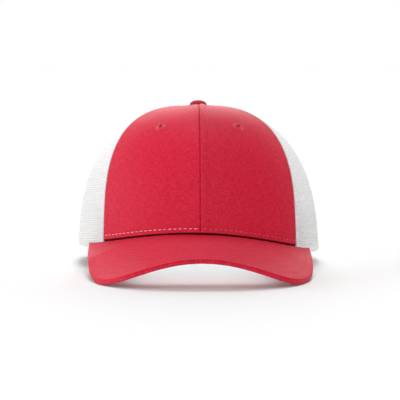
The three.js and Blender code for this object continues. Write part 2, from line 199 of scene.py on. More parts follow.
def ridge_at(angle, rise):
    side = np.minimum(np.abs(angle), 360.0 - np.abs(angle))
    ridge = np.zeros(np.broadcast(side, rise).shape)
    for low, high in zip(ROUND_THE_SIDE, ROUND_THE_SIDE[1:]):
        start, end = seam_angle(low, rise), seam_angle(high, rise)
        across = np.clip((side - start) / (end - start), 0.0, 1.0)
        tall = lerp(SEAMS[low][2], SEAMS[high][2], across) * (2.0 * across - 1.0) ** 2
        ridge = np.where((side >= start) & (side <= end), tall, ridge)
    return ridge * lerp(RIDGE_AT_RIM, 1.0, smooth(rise, 0.0, 0.3)) * spread_at(angle, rise)


def on_crown(angle, rise, depth, from_base=False):
    """A point at a depth inside the outer face, or inside the smooth surface under the ridges."""
    ridge = 0.0 if from_base else ridge_at(angle, rise)
    out = np.asarray(ridge - depth)[..., None]
    point = crown_base(angle, rise) + crown_normal(angle, rise) * out
    at_rim = np.broadcast_to(np.asarray(rise) <= 0.0, point.shape[:-1])
    point[..., 2] = np.where(at_rim, rim_height(angle, point[..., 1]), point[..., 2])
    return point


def rise_at_height(angle, height):
    x, y = plan_at(angle)
    share = np.clip(height / (CROWN_HEIGHT - rim_height(angle, y)), 0.0, 1.0)
    return np.arcsin(share ** (shoulder_at(angle) / 2)) * 2 / math.pi


def rise_at_radius(angle, radius):
    share = radius / np.hypot(*plan_at(angle))
    return np.arccos(share ** (shoulder_at(angle) / 2)) * 2 / math.pi


def length_per_degree(angle, rise):
    return np.linalg.norm(crown_base(angle + 1.0, rise) - crown_base(angle, rise), axis=-1)


# %% [markdown]
# ## Panels as flat cloth
# A panel is cut flat, so weave, mesh and stitches are laid out on it in millimetres: across from its left
# seam, and up from the rim along its middle. One function then gives the angle and the rise on the crown.

# %% Panel layout
SEAM_GAP = -0.2  # sewn panels press into each other, where the solids keep a clearance


class Panel:
    def __init__(self, base, low, high, side):
        self.name = f"{base}_{side}"
        self.hand = SIDES[side]
        self.low, self.high = (low, high) if self.hand > 0 else (high, low)
        self.top_low = self.hand * SEAMS[self.low][1]
        self.top_high = self.hand * SEAMS[self.high][1]
        middle = (self.top_low + self.top_high) / 2
        self.top_rise = float(rise_at_radius(middle, TOP_HOLE_RADIUS))
        self.rises = np.linspace(0.0, self.top_rise, 600)
        points = crown_base(lerp(*self.edges(self.rises), 0.5), self.rises)
        steps = np.linalg.norm(np.diff(points, axis=0), axis=1)
        self.lengths = np.concatenate([[0.0], np.cumsum(steps)])
        self.height = float(self.lengths[-1])

    def edges(self, rise):
        low = self.hand * seam_angle(self.low, rise)
        high = self.hand * seam_angle(self.high, rise)
        half = SEAM_GAP / 2
        return low + half / length_per_degree(low, rise), high - half / length_per_degree(high, rise)

    def width(self, up):
        rise = np.interp(up, self.lengths, self.rises)
        low, high = self.edges(rise)
        return (high - low) * length_per_degree((low + high) / 2, rise)

    def at(self, across, up, depth):
        """A point of the panel: across as a share of its width, up in millimetres."""
        rise = np.interp(up, self.lengths, self.rises)
        top = rise_at_radius(lerp(self.top_low, self.top_high, across), TOP_HOLE_RADIUS)
        rise = rise * top / self.top_rise
        low, high = self.edges(rise)
        return on_crown(lerp(low, high, across), rise, depth)


PANELS = [
    Panel(base, low, high, side)
    for side in SIDES
    for base, low, high in (
        ("front_panel", "front", "side"),
        ("side_mesh", "side", "rear"),
        ("back_mesh", "rear", "back"),
    )
]
for panel in PANELS:
    print(panel.name, "is", round(panel.height), "mm up and", round(float(panel.width(0.0))), "mm across")


# %% [markdown]
# ## Modelling helpers
# Each piece starts as a primitive, is cut and shaped in edit mode, and is then laid on the crown by moving
# its vertices in code, which is what a shrinkwrap by hand would do, but exact. A named attribute called
# cloth keeps each vertex's place on the flat cloth in millimetres, so that weaves follow the cloth.

# %% Selection, modes and meshes
def deselect():
    if bpy.context.object and bpy.context.object.mode != "OBJECT":
        bpy.ops.object.mode_set(mode="OBJECT")
    bpy.ops.object.select_all(action="DESELECT")


def made(name):
    """Names the new primitive, with its place in its mesh."""
    bpy.ops.object.transform_apply(location=True, rotation=True, scale=True)
    piece = bpy.context.object
    piece.name = piece.data.name = name
    return piece


def focus(piece):
    deselect()
    piece.select_set(True)
    bpy.context.view_layer.objects.active = piece


def read(piece):
    flat = np.empty(len(piece.data.vertices) * 3, np.float32)
    piece.data.vertices.foreach_get("co", flat)
    return flat.reshape(-1, 3).astype(float)


def write(piece, points):
    piece.data.vertices.foreach_set("co", np.asarray(points, np.float32).ravel())
    piece.data.update()


def mark_cloth(piece, cloth, crease_shade=None):
    """Keeps the place on the flat cloth, and how much painted shade each vertex gets in a crease, from 0 to 1."""
    layer = piece.data.attributes.new("cloth", "FLOAT_VECTOR", "POINT")
    layer.data.foreach_set("vector", np.asarray(cloth, np.float32).ravel())
    if crease_shade is not None:
        layer = piece.data.attributes.new("crease_shade", "FLOAT", "POINT")
        layer.data.foreach_set("value", np.asarray(crease_shade, np.float32).ravel())


def grid(name, across, up):
    """A flat grid with x and y from 0 to 1."""
    deselect()
    bpy.ops.mesh.primitive_grid_add(x_subdivisions=across, y_subdivisions=up, size=1, location=(0.5, 0.5, 0))
    return made(name)


def lay(piece, place):
    """place takes the flat x and y, and gives the points on the level cap, those on the flat cloth, and maybe
    the painted crease shade."""
    flat = read(piece)
    points, *marks = place(flat[:, 0], flat[:, 1])
    write(piece, to_frame(points))
    mark_cloth(piece, *marks)
    return piece


def delete_faces(piece, doomed):
    """Deletes the faces that a test on their middles picks."""
    focus(piece)
    count = len(piece.data.polygons)
    middles = np.empty(count * 3, np.float32)
    piece.data.polygons.foreach_get("center", middles)
    picked = doomed(middles.reshape(-1, 3).astype(float))
    clear_selection(piece)
    piece.data.polygons.foreach_set("select", picked)
    bpy.ops.object.mode_set(mode="EDIT")
    bpy.ops.mesh.select_mode(type="FACE")
    bpy.ops.mesh.delete(type="FACE")
    bpy.ops.object.mode_set(mode="OBJECT")


def clear_selection(piece):
    for parts in (piece.data.vertices, piece.data.edges, piece.data.polygons):
        parts.foreach_set("select", np.zeros(len(parts), bool))


def finish_with(piece, kind, **settings):
    focus(piece)
    modifier = piece.modifiers.new(kind.title(), kind)
    for key, value in settings.items():
        setattr(modifier, key, value)
    bpy.ops.object.modifier_apply(modifier=modifier.name)


def thicken(piece, wall, **settings):
    """Gives a sheet its wall, inward from its outer face."""
    finish_with(piece, "SOLIDIFY", thickness=wall / 1000, offset=-1.0, use_even_offset=False, **settings)


def soften(piece, angle=40.0):
    focus(piece)
    bpy.ops.object.shade_smooth_by_angle(angle=math.radians(angle))


def join(name, pieces):
    focus(pieces[0])
    for piece in pieces[1:]:
        piece.select_set(True)
    bpy.ops.object.join()
    pieces[0].name = pieces[0].data.name = name
    return pieces[0]


def dress(piece, materials, slot, *nodes):
    """Material and body, the same for every finished piece, and hides the nodes it replaces. The slot is not used."""
    piece.data.materials.clear()
    for material in materials:
        piece.data.materials.append(material)
    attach(piece, BODY)
    if nodes:
        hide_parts(*nodes)
    print(piece.name, "has", sum(len(face.vertices) - 2 for face in piece.data.polygons), "triangles")


# %% [markdown]
# ## Colours and finishes
# Hex colours are what a screen shows, so one function turns them to the linear light that shaders use. A
# second one adds a node with its settings and links, and every material below is built with just these two.

# %% Colour and node helpers
def linear(hex_colour):
    channels = [int(hex_colour[i : i + 2], 16) / 255 for i in (1, 3, 5)]
    return (*[c / 12.92 if c <= 0.04045 else ((c + 0.055) / 1.055) ** 2.4 for c in channels], 1.0)


def add_node(tree, kind, settings=(), **inputs):
    """Adds a node. An input given as a socket is linked, and any other is set."""
    node = tree.nodes.new(kind)
    for key, value in dict(settings).items():
        setattr(node, key, value)
    for key, value in inputs.items():
        socket = node.inputs[int(key[1:])] if key[0] == "_" else node.inputs[key.replace("_", " ")]
        if isinstance(value, bpy.types.NodeSocket):
            tree.links.new(value, socket)
        else:
            socket.default_value = value
    return node


def new_material(name, **shader):
    """An empty material with its shader, whose constant values are set on its own sockets."""
    material = bpy.data.materials.new(name)
    material.use_nodes = True
    surface = material.node_tree.nodes["Principled BSDF"]
    for key, value in shader.items():
        surface.inputs[key.replace("_", " ")].default_value = value
    return material, material.node_tree, surface


def paint_crease_shade(tree, colour):
    """Painted shade: the colour is multiplied towards a dark red-brown by the crease shade attribute, standing in for
    shadow in creases.
    """
    crease_shade = add_node(tree, "ShaderNodeAttribute", {"attribute_name": "crease_shade"}).outputs["Fac"]
    settings = {"data_type": "RGBA", "blend_type": "MULTIPLY"}
    # The dark red-brown that the painted shade multiplies into the colour.
    shaded = add_node(tree, "ShaderNodeMix", settings, _0=crease_shade, _6=colour, _7=linear("#4c2c30"))
    return shaded.outputs[2]


# %% [markdown]
# ### Cotton twill
# The front panels, the visor and the button are cotton twill: diagonal ribs about half a millimetre apart,
# piece-dyed red, with a soft bloom of loose fibre. The ribs are drawn 0.9 mm apart so that they show at all.

# %% Twill
TWILL_RIB = 1.6  # drawn three times coarser than the real ribs, so that they show
TWILL_LIGHT, TWILL_DARK = "#ce1b39", "#ab0b24"


def twill(name, light, dark, rib=TWILL_RIB, relief=0.35):
    material, tree, surface = new_material(name, Roughness=0.62, Specular_IOR_Level=0.22, Specular_Tint=linear("#ffe8ff"))
    cloth = add_node(tree, "ShaderNodeAttribute", {"attribute_name": "cloth"}).outputs["Vector"]
    ribs = add_node(
        tree,
        "ShaderNodeTexWave",
        {"wave_type": "BANDS", "bands_direction": "DIAGONAL"},
        Vector=cloth,
        Scale=math.pi / (10 * rib) * 1.15,
        Distortion=1.2,
        Detail=2.0,
        Detail_Scale=1.5,
    ).outputs["Fac"]
    # Slubs: yarns vary in thickness along their length, so both yarn directions show as fine dashes.
    yarns = []
    for stretch in ((1.3, 0.28, 0.0), (0.22, 1.4, 0.0)):
        along_yarn = add_node(tree, "ShaderNodeMapping", Vector=cloth, Scale=stretch).outputs["Vector"]
        yarns.append(add_node(tree, "ShaderNodeTexNoise", Vector=along_yarn, Scale=1.0, Detail=2.0).outputs["Fac"])
    bloom = add_node(tree, "ShaderNodeTexNoise", Vector=cloth, Scale=0.05, Detail=3.0).outputs["Fac"]
    slubs = add_node(tree, "ShaderNodeMath", {"operation": "ADD"}, _0=yarns[0], _1=yarns[1]).outputs[0]
    mixed = add_node(
        tree, "ShaderNodeMath", {"operation": "MULTIPLY_ADD"}, _0=ribs, _1=0.15, _2=slubs
    ).outputs[0]
    mixed = add_node(
        tree, "ShaderNodeMath", {"operation": "MULTIPLY_ADD"}, _0=bloom, _1=0.1, _2=mixed
    ).outputs[0]
    spread = add_node(tree, "ShaderNodeMapRange", Value=mixed)
    spread.inputs["From Min"].default_value = 0.85
    spread.inputs["From Max"].default_value = 1.4
    colour = add_node(tree, "ShaderNodeValToRGB", Fac=spread.outputs["Result"])
    colour.color_ramp.elements[0].color = linear(dark)
    colour.color_ramp.elements[1].color = linear(light)
    height = add_node(
        tree, "ShaderNodeMath", {"operation": "MULTIPLY_ADD"}, _0=slubs, _1=1.2, _2=ribs
    ).outputs[0]
    bump = add_node(tree, "ShaderNodeBump", Strength=relief, Distance=0.0003, Height=height)
    tree.links.new(paint_crease_shade(tree, colour.outputs["Color"]), surface.inputs["Base Color"])
    tree.links.new(bump.outputs["Normal"], surface.inputs["Normal"])
    return material


RED_TWILL = twill("cotton_twill_red", TWILL_LIGHT, TWILL_DARK)
WHITE_TWILL = twill("cotton_twill_white", "#cfcecb", "#b2b0ac", rib=1.2)

# %% [markdown]
# ### Knit, tape, thread, backing and plastic
# The knit is bright polyester yarn, a little glossier than cotton. Tape is a plain weave whose ribs run
# across it. Thread is twisted polyester with a sheen along it. The backing is an open stiffened weave, seen
# only from inside. The strap is moulded polyethylene: waxy, faintly see-through, with a soft gloss.


# %% Other finishes
def woven(name, light, dark, pitch, relief, **shader):
    material, tree, surface = new_material(name, **shader)
    cloth = add_node(tree, "ShaderNodeAttribute", {"attribute_name": "cloth"}).outputs["Vector"]
    scale = math.pi / (10 * pitch)
    warp = add_node(tree, "ShaderNodeTexWave", {"bands_direction": "X"}, Vector=cloth, Scale=scale)
    weft = add_node(tree, "ShaderNodeTexWave", {"bands_direction": "Y"}, Vector=cloth, Scale=scale)
    weave = add_node(
        tree, "ShaderNodeMath", {"operation": "MAXIMUM"}, _0=warp.outputs["Fac"], _1=weft.outputs["Fac"]
    ).outputs[0]
    cloud = add_node(tree, "ShaderNodeTexNoise", Vector=cloth, Scale=0.2, Detail=4.0).outputs["Fac"]
    mixed = add_node(tree, "ShaderNodeMath", {"operation": "MULTIPLY"}, _0=weave, _1=cloud).outputs[0]
    colour = add_node(tree, "ShaderNodeValToRGB", Fac=mixed)
    colour.color_ramp.elements[0].color = linear(dark)
    colour.color_ramp.elements[1].position = 0.6
    colour.color_ramp.elements[1].color = linear(light)
    bump = add_node(tree, "ShaderNodeBump", Strength=relief, Distance=0.0003, Height=weave)
    tree.links.new(colour.outputs["Color"], surface.inputs["Base Color"])
    tree.links.new(bump.outputs["Normal"], surface.inputs["Normal"])
    return material


def speckled(name, light, dark, scale, relief, **shader):
    material, tree, surface = new_material(name, **shader)
    place = add_node(tree, "ShaderNodeTexCoord").outputs["Object"]
    noise = add_node(tree, "ShaderNodeTexNoise", Vector=place, Scale=scale, Detail=3.0).outputs["Fac"]
    colour = add_node(tree, "ShaderNodeValToRGB", Fac=noise)
    colour.color_ramp.elements[0].position = 0.3
    colour.color_ramp.elements[0].color = linear(dark)
    colour.color_ramp.elements[1].position = 0.7
    colour.color_ramp.elements[1].color = linear(light)
    bump = add_node(tree, "ShaderNodeBump", Strength=relief, Distance=0.0002, Height=noise)
    tree.links.new(paint_crease_shade(tree, colour.outputs["Color"]), surface.inputs["Base Color"])
    tree.links.new(bump.outputs["Normal"], surface.inputs["Normal"])
    return material


WHITE_KNIT = speckled("polyester_knit_white", "#efefef", "#dcdcdc", 900.0, 0.3, Roughness=0.6)
WHITE_TAPE = woven("woven_tape_white", "#efefed", "#d5d5d2", 0.7, 0.4, Roughness=0.75, Sheen_Weight=0.15)
BUCKRAM = woven("stiffened_backing_white", "#e6e5e0", "#b9b7b0", 0.9, 0.6, Roughness=0.8)
RED_THREAD = speckled("polyester_thread_red", "#d53a50", "#b92339", 1500.0, 0.2, Roughness=0.6, Specular_IOR_Level=0.3)
# The pale thread is a painted lit copy of the foot row's thread on the left panel; the rose one serves the eyelets
# and, as its shaded copy, the right panel's foot row.
PALE_LIT_THREAD = speckled("polyester_thread_pale", "#efb3ba", "#dd8e99", 1500.0, 0.2, Roughness=0.5)
EYELET_THREAD = speckled("polyester_thread_rose", "#dc5666", "#b82c3f", 1500.0, 0.2, Roughness=0.4)
WHITE_THREAD = speckled("polyester_thread_white", "#f4f4f2", "#dfdfdc", 1500.0, 0.2, Roughness=0.45)
STRAP_PLASTIC = speckled(
    "polyethylene_white", "#f1f1ef", "#eaeae7", 60.0, 0.05, Roughness=0.38, Subsurface_Weight=0.1
)

# %% [markdown]
# ## Stitches
# A lockstitch shows as a short fat bead of thread that dips into the cloth at both ends. One bead is made
# from a small sphere, and a row is that bead copied along a line on the cloth, all in one mesh.

# %% One bead of thread, and a row of them
deselect()
bpy.ops.mesh.primitive_uv_sphere_add(segments=6, ring_count=4, radius=1.0, rotation=(0, math.pi / 2, 0))
bead = made("bead")
BEAD_POINTS = read(bead)
BEAD_FACES = [tuple(face.vertices) for face in bead.data.polygons]
bpy.data.objects.remove(bead)
STITCH_PITCH, STITCH_LENGTH, THREAD_RADIUS = 3.0, 2.3, 0.32


def along(line, pitch):
    """Middles and directions at a pitch along a line of points."""
    steps = np.linalg.norm(np.diff(line, axis=0), axis=1)
    travelled = np.concatenate([[0.0], np.cumsum(steps)])
    count = max(1, int(travelled[-1] / pitch))
    marks = (np.arange(count) + 0.5) * travelled[-1] / count
    ahead = marks + 0.4
    middles = np.stack([np.interp(marks, travelled, line[:, i]) for i in range(3)], axis=1)
    leads = np.stack([np.interp(ahead, travelled, line[:, i]) for i in range(3)], axis=1)
    tangents = leads - middles
    tangents /= np.maximum(1e-9, np.linalg.norm(tangents, axis=1, keepdims=True))
    return marks, travelled, middles, tangents


def beads(lines, pitch=STITCH_PITCH, length=STITCH_LENGTH, radius=THREAD_RADIUS):
    """Points and faces of rows of beads. Each line is its points and its outward normals."""
    points, faces = [], []
    for line, normals in lines:
        marks, travelled, middles, tangents = along(line, pitch)
        outward = np.stack([np.interp(marks, travelled, normals[:, i]) for i in range(3)], axis=1)
        outward /= np.linalg.norm(outward, axis=1, keepdims=True)
        sideways = np.cross(outward, tangents)
        for middle, tangent, side, out in zip(middles, tangents, sideways, outward):
            base = len(points) * len(BEAD_POINTS)
            local = BEAD_POINTS * [length / 2, radius, radius * 0.8]
            points.append(middle + local @ np.stack([tangent, side, out]) + out * radius * 0.25)
            faces += [tuple(base + i for i in face) for face in BEAD_FACES]
    return np.concatenate(points), faces


def stitch(name, lines, material, slot, **sizes):
    points, faces = beads(lines, **sizes)
    mesh = bpy.data.meshes.new(name)
    mesh.from_pydata(to_frame(points).tolist(), [], faces)
    piece = bpy.data.objects.new(name, mesh)
    bpy.context.collection.objects.link(piece)
    soften(piece, 80.0)
    dress(piece, [material], slot)
    return piece


def line_on(place, *where):
    """A row's line from a surface function, with normals from a second point deeper in."""
    line = place(*where, 0.0)
    return line, line - place(*where, 1.0)


# %% [markdown]
# ## Front panels
# Each front panel is twill over a stiff backing. Its edges roll into the seams, its foot dips behind the
# visor, and the seam allowances of the middle seam are pressed under the right panel, where they show as a
# low step with a line of stitches beside it. A round hole is cut for the eyelet.

# %% Shapes shared by all panels
SEAM_ROLL, SEAM_ROLL_WIDTH = 0.9, 1.7
# At the side seams the thick front panel stands proud of the mesh, which is rolled in deeper.
SIDE_ROLL_FRONT, SIDE_ROLL_MESH = 0.4, 1.15
# The SHADE sizes set how far painted shade darkens the cloth from the middle seam, the visor's foot and the visor's
# root.
SEAM_SHADE, FOOT_SHADE, ROOT_SHADE = 0.7, 1.25, 0.9  # how far creases look dark, in millimetres
ALLOWANCE_STEP, ALLOWANCE_WIDTH = 0.45, 4.2
FOOT_DIP, FOOT_DIP_WIDTH = 1.6, 1.1
# A row of stitches above the visor presses the cloth in and puckers it a little between the stitches.
FOOT_ROW, ROW_DIP, ROW_DIP_WIDTH, PUCKER_PITCH = 3.7, 0.3, 1.9, 6.0


def roll(distance, deep=SEAM_ROLL, wide=SEAM_ROLL_WIDTH):
    return deep * np.clip(1.0 - distance / wide, 0.0, 1.0) ** 2


def crowd(share, amount=0.8):
    """Spreads grid lines closer together near both ends."""
    return lerp(share, 0.5 - 0.5 * np.cos(share * math.pi), amount)


def foot(panel, across):
    """How high over the rim the visor's top meets the crown, and 1 where it is sewn to it or else 0."""
    low, high = panel.edges(np.zeros_like(across))
    angle = lerp(low, high, across)
    nearest = np.clip(angle, -VISOR_EAR_ANGLE, VISOR_EAR_ANGLE)
    x, y = plan_at(nearest)
    sewn = 1.0 - smooth(np.abs(angle), VISOR_EAR_ANGLE - 2.0, VISOR_EAR_ANGLE + 1.0)
    return visor_top(x, y) - rim_height(nearest, y), sewn


def foot_dip(panel, across, up):
    """The panel is pulled in where the visor is sewn to it."""
    foot_up, sewn = foot(panel, across)
    return sewn * roll(np.abs(up - foot_up), FOOT_DIP, FOOT_DIP_WIDTH)


def shade(distance, wide):
    return np.clip(1.0 - distance / wide, 0.0, 1.0)


def front_crease_shade(panel, across, up):
    # Painted shade, from 0 to 1: along the visor's foot, and along the left panel's edge at the middle seam.
    width = panel.width(up)
    foot_up, sewn = foot(panel, across)
    at_foot = sewn * np.minimum(1.0, 1.6 * shade(np.abs(up - foot_up), FOOT_SHADE))
    # The right panel stands a little proud at the middle seam, so only the left one's edge gets painted shade.
    middle = 0.55 * shade((1.0 - across) * width, SEAM_SHADE) if panel.hand < 0 else 0.0
    return np.maximum(at_foot, middle)


def front_relief(panel, across, up):
    """How deep a front panel's face lies under the smooth crown, in millimetres."""
    width = panel.width(up)
    from_low, from_high = across * width, (1.0 - across) * width
    deep_low, deep_high = (SEAM_ROLL, SIDE_ROLL_FRONT) if panel.hand > 0 else (SIDE_ROLL_FRONT, SEAM_ROLL)
    depth = roll(from_low, deep_low) + roll(from_high, deep_high) + foot_dip(panel, across, up)
    if panel.hand > 0:
        step = 1.0 - smooth(from_low, ALLOWANCE_WIDTH, ALLOWANCE_WIDTH + 0.9)
        depth = depth - ALLOWANCE_STEP * step * smooth(from_low, 0.0, 0.7) * smooth(panel.height - up, 4, 12)
    row = roll(np.abs(up - foot(panel, across)[0] - FOOT_ROW), ROW_DIP, ROW_DIP_WIDTH)
    pucker = 0.5 + 0.5 * np.cos(2 * math.pi * (across - 0.5) * width / PUCKER_PITCH)
    return depth + row * (0.6 + 0.4 * pucker)


# %% Front panel sheets
FRONT_ACROSS, FRONT_UP = 96, 170
EYELET_ACROSS, EYELET_RISE, EYELET_RADIUS = 0.446, 0.544, 4.2


def eyelet_angle(hand):
    return hand * lerp(seam_angle("front", EYELET_RISE), seam_angle("side", EYELET_RISE), EYELET_ACROSS)


def front_sheet(panel):
    def place(across, share):
        across, up = crowd(across), panel.height * lerp(share, share**2, 0.6)
        cloth = stack(panel.hand * (across - 0.5) * panel.width(up), up, 0.0)
        return panel.at(across, up, front_relief(panel, across, up)), cloth, front_crease_shade(panel, across, up)

    return lay(grid(panel.name + "_cloth", FRONT_ACROSS, FRONT_UP), place)


def eyelet_frame(hand):
    """Middle, outward normal and two directions in the cloth, at an eyelet."""
    angle = eyelet_angle(hand)
    middle = on_crown(np.array([angle]), np.array([EYELET_RISE]), 0.0)[0]
    normal = crown_normal(np.array([angle]), np.array([EYELET_RISE]))[0]
    side = np.cross([0.0, 0.0, 1.0], normal)
    side /= np.linalg.norm(side)
    return middle, normal, side, np.cross(normal, side)


def place_local(piece, middle, normal, side, up):
    """Lays a piece modelled round the Z axis on the cap, with Z along a normal."""
    local = read(piece)
    write(piece, to_frame(middle + local @ np.stack([side, up, normal])))


def punch(piece, hand, radius, deep=6.0):
    deselect()
    bpy.ops.mesh.primitive_cylinder_add(vertices=32, radius=radius, depth=deep)
    cutter = made("cutter")
    place_local(cutter, *eyelet_frame(hand))
    finish_with(piece, "BOOLEAN", operation="DIFFERENCE", object=cutter, solver="MANIFOLD")
    bpy.data.objects.remove(cutter)


for panel in PANELS:
    if panel.name.startswith("front"):
        sheet = front_sheet(panel)
        thicken(sheet, CLOTH_WALL, material_offset=1)
        punch(sheet, panel.hand, EYELET_RADIUS - 0.6)
        soften(sheet, 50.0)
        dress(sheet, [RED_TWILL, BUCKRAM], "cloth", panel.name)

# %% [markdown]
# ## Mesh panels
# Trucker mesh is a stiff warp knit: a honeycomb of small holes about 2 mm apart. One hexagon is repeated
# by two arrays, every face is inset on its own, and the inner faces are deleted, which leaves the net flat,
# as cut. It is then laid on the crown and given its thickness. A frame of doubled mesh covers its cut edge.

# %% The net
HOLE_PITCH, BAR_WIDTH, NET_WALL, NET_DEPTH = 1.86, 0.62, 0.45, 0.35
HEX_RADIUS = HOLE_PITCH / math.sqrt(3)
FRAME_WIDTH, HEM_WIDTH = 1.3, 3.6


def honeycomb(name, wide, tall):
    """A flat honeycomb of whole hexagons from (0, 0) to (wide, tall)."""
    deselect()
    bpy.ops.mesh.primitive_circle_add(vertices=6, radius=HEX_RADIUS, fill_type="NGON")
    first = made(name)
    deselect()
    bpy.ops.mesh.primitive_circle_add(
        vertices=6, radius=HEX_RADIUS, fill_type="NGON", location=(HOLE_PITCH / 2, 1.5 * HEX_RADIUS, 0)
    )
    sheet = join(name, [first, made(name)])
    for step, size in (((HOLE_PITCH, 0, 0), wide), ((0, 3 * HEX_RADIUS, 0), tall)):
        finish_with(
            sheet,
            "ARRAY",
            count=int(size / max(step)) + 2,
            use_relative_offset=False,
            use_constant_offset=True,
            constant_offset_displace=step,
            use_merge_vertices=True,
            merge_threshold=0.01,
        )
    finish_with(sheet, "WELD", merge_threshold=0.01)
    return sheet


def open_holes(sheet):
    focus(sheet)
    bpy.ops.object.mode_set(mode="EDIT")
    bpy.ops.mesh.select_mode(type="FACE")
    bpy.ops.mesh.select_all(action="SELECT")
    bpy.ops.mesh.inset(thickness=BAR_WIDTH / 2, use_individual=True, use_even_offset=True)
    bpy.ops.mesh.delete(type="FACE")
    bpy.ops.object.mode_set(mode="OBJECT")


# %% The half-moon opening
OPENING_WIDTH, OPENING_HEIGHT, OPENING_STRAIGHT = 76.0, 46.0, 8.0


def on_back(x, height):
    """The angle and rise on the back at a distance across and a height above the rim."""
    angle = 180.0 - np.degrees(np.arcsin(2 * x / CROWN_WIDTH))
    for _ in range(8):
        rise = rise_at_height(angle, np.maximum(0.0, height))
        unit = crown_base(angle, rise)[..., 0] / np.where(np.abs(x) < 1e-6, 1.0, np.sin(np.radians(angle)))
        unit = np.where(np.abs(x) < 1e-6, CROWN_WIDTH / 2, unit)
        angle = 180.0 - np.degrees(np.arcsin(np.clip(x / unit, -1.0, 1.0)))
    return angle, rise


def in_opening(points, margin):
    """Whether points of the level cap lie in the half moon, grown by a margin."""
    x, y, z = np.moveaxis(points, -1, 0)
    height = z - rim_height(np.full_like(x, 180.0), y)
    arch = OPENING_HEIGHT - OPENING_STRAIGHT + margin
    across = x / (OPENING_WIDTH / 2 + margin)
    up = np.maximum(0.0, height - OPENING_STRAIGHT) / arch
    return (y > 0) & (across**2 + up**2 < 1.0)


# %% Mesh panels: net, frame and hem
def mesh_roll(panel, side, width):
    """How deep the mesh is rolled into its seams, and how much painted shade darkens it there."""
    deep = [SIDE_ROLL_MESH if seam == "side" else SEAM_ROLL for seam in (panel.low, panel.high)]
    depth = roll(side, deep[0]) + roll(width - side, deep[1])
    return depth, 0.7 * np.maximum(shade(side, 1.5), shade(width - side, 1.5))


def net_place(panel, x, y, wide):
    """Lays the net on its panel. What runs over a seam is crowded into it, as cut mesh is."""
    width = panel.width(y)
    side = np.clip(x - (wide - width) / 2, 0.2, width - 0.2)
    depth, crease_shade = mesh_roll(panel, side, width)
    return panel.at(side / width, y, np.maximum(NET_DEPTH, depth + 0.1)), width, crease_shade


def mesh_net(panel):
    wide = float(panel.width(np.linspace(0, panel.height, 40)).max())
    net = honeycomb(panel.name + "_net", wide, panel.height)

    def outside(middles):
        x, y = middles[:, 0], middles[:, 1]
        points, width, _ = net_place(panel, x, np.clip(y, 0, panel.height), wide)
        reach = width / 2 + HOLE_PITCH / 4
        hem = HEM_WIDTH - HOLE_PITCH * 0.75
        kept = (np.abs(x - wide / 2) < reach) & (y > hem) & (y < panel.height - 6.0)
        return ~kept | in_opening(points, 2.0)

    delete_faces(net, outside)
    open_holes(net)

    def place(x, y):
        points, _, crease_shade = net_place(panel, x, y, wide)
        return points, stack(x, y, 0.0), crease_shade

    lay(net, place)
    thicken(net, NET_WALL)
    return net


FRAME_COLUMNS, FRAME_ACROSS, FRAME_UP = 4, 48, 76


def mesh_frame(panel):
    """The doubled edge: a grid whose outer columns and rows have fixed widths, and whose middle goes."""
    inner = FRAME_ACROSS - 2 * FRAME_COLUMNS

    def from_sides(across, width):
        column = across * FRAME_ACROSS
        low = column / FRAME_COLUMNS * FRAME_WIDTH
        high = width - (FRAME_ACROSS - column) / FRAME_COLUMNS * FRAME_WIDTH
        middle = lerp(FRAME_WIDTH, width - FRAME_WIDTH, (column - FRAME_COLUMNS) / inner)
        narrow = width < 2.2 * FRAME_WIDTH
        placed = np.where(column <= FRAME_COLUMNS, low, np.where(column >= FRAME_ACROSS - FRAME_COLUMNS, high, middle))
        return np.where(narrow, across * width, placed)

    def height_of(share):
        row = share * FRAME_UP
        return np.where(
            row <= FRAME_COLUMNS,
            row / FRAME_COLUMNS * HEM_WIDTH,
            lerp(HEM_WIDTH, panel.height, (row - FRAME_COLUMNS) / (FRAME_UP - FRAME_COLUMNS)),
        )

    def place(across, share):
        up = height_of(share)
        width = panel.width(up)
        side = from_sides(across, width)
        depth, crease_shade = mesh_roll(panel, side, width)
        depth = depth + foot_dip(panel, side / width, up) + roll(up, 0.4, 1.2)
        points = panel.at(side / width, up, np.minimum(depth, 1.25))
        return points, stack(side - width / 2, up, 0.0), crease_shade

    sheet = grid(panel.name + "_frame", FRAME_ACROSS, FRAME_UP)

    def middle_or_opening(middles):
        column, row = middles[:, 0] * FRAME_ACROSS, middles[:, 1] * FRAME_UP
        inside = (column > FRAME_COLUMNS) & (column < FRAME_ACROSS - FRAME_COLUMNS) & (row > FRAME_COLUMNS)
        points = place(middles[:, 0], middles[:, 1])[0]
        return inside | in_opening(points, 1.0)

    delete_faces(sheet, middle_or_opening)
    lay(sheet, place)
    thicken(sheet, MESH_WALL)
    return sheet


for panel in PANELS:
    if "mesh" in panel.name:
        knit = join(panel.name + "_knit", [mesh_net(panel), mesh_frame(panel)])
        soften(knit, 35.0)
        dress(knit, [WHITE_KNIT], "mesh", panel.name)

# %% [markdown]
# ## Visor
# A plastic board between two layers of twill. A grid is wrapped round its section: in over the top from the
# root, round the edge, and back under. A crease runs where the top layer turns over the edge, and the rows
# of stitches press shallow channels into the cloth.

# %% Visor body
VISOR_ALONG, VISOR_ROUND = 170, 176
STITCH_ROWS = [5.0 + 6.2 * i for i in range(8)]
CHANNEL_DEPTH, CHANNEL_WIDTH = 0.25, 1.5
ROOT_ROLL, ROOT_ROLL_WIDTH = 1.9, 1.0
# The edge in section: how far in from the outline, and how far below the top.
EDGE_PROFILE = [
    (1.6, 0.0), (0.8, 0.02), (0.4, 0.14), (0.3, 0.34), (0.4, 0.54), (0.62, 0.68), (0.62, 0.88), (0.2, 1.04),
    (0.0, 1.4), (-0.08, 1.9), (0.0, 2.4), (0.25, 2.85), (0.7, 3.12), (1.6, VISOR_WALL),
]
EDGE_STEPS = len(EDGE_PROFILE)
FACE_STEPS = (VISOR_ROUND - EDGE_STEPS) // 2


def visor_root(share):
    return on_crown(share * VISOR_EAR_ANGLE, np.zeros_like(share), -CLEARANCE)


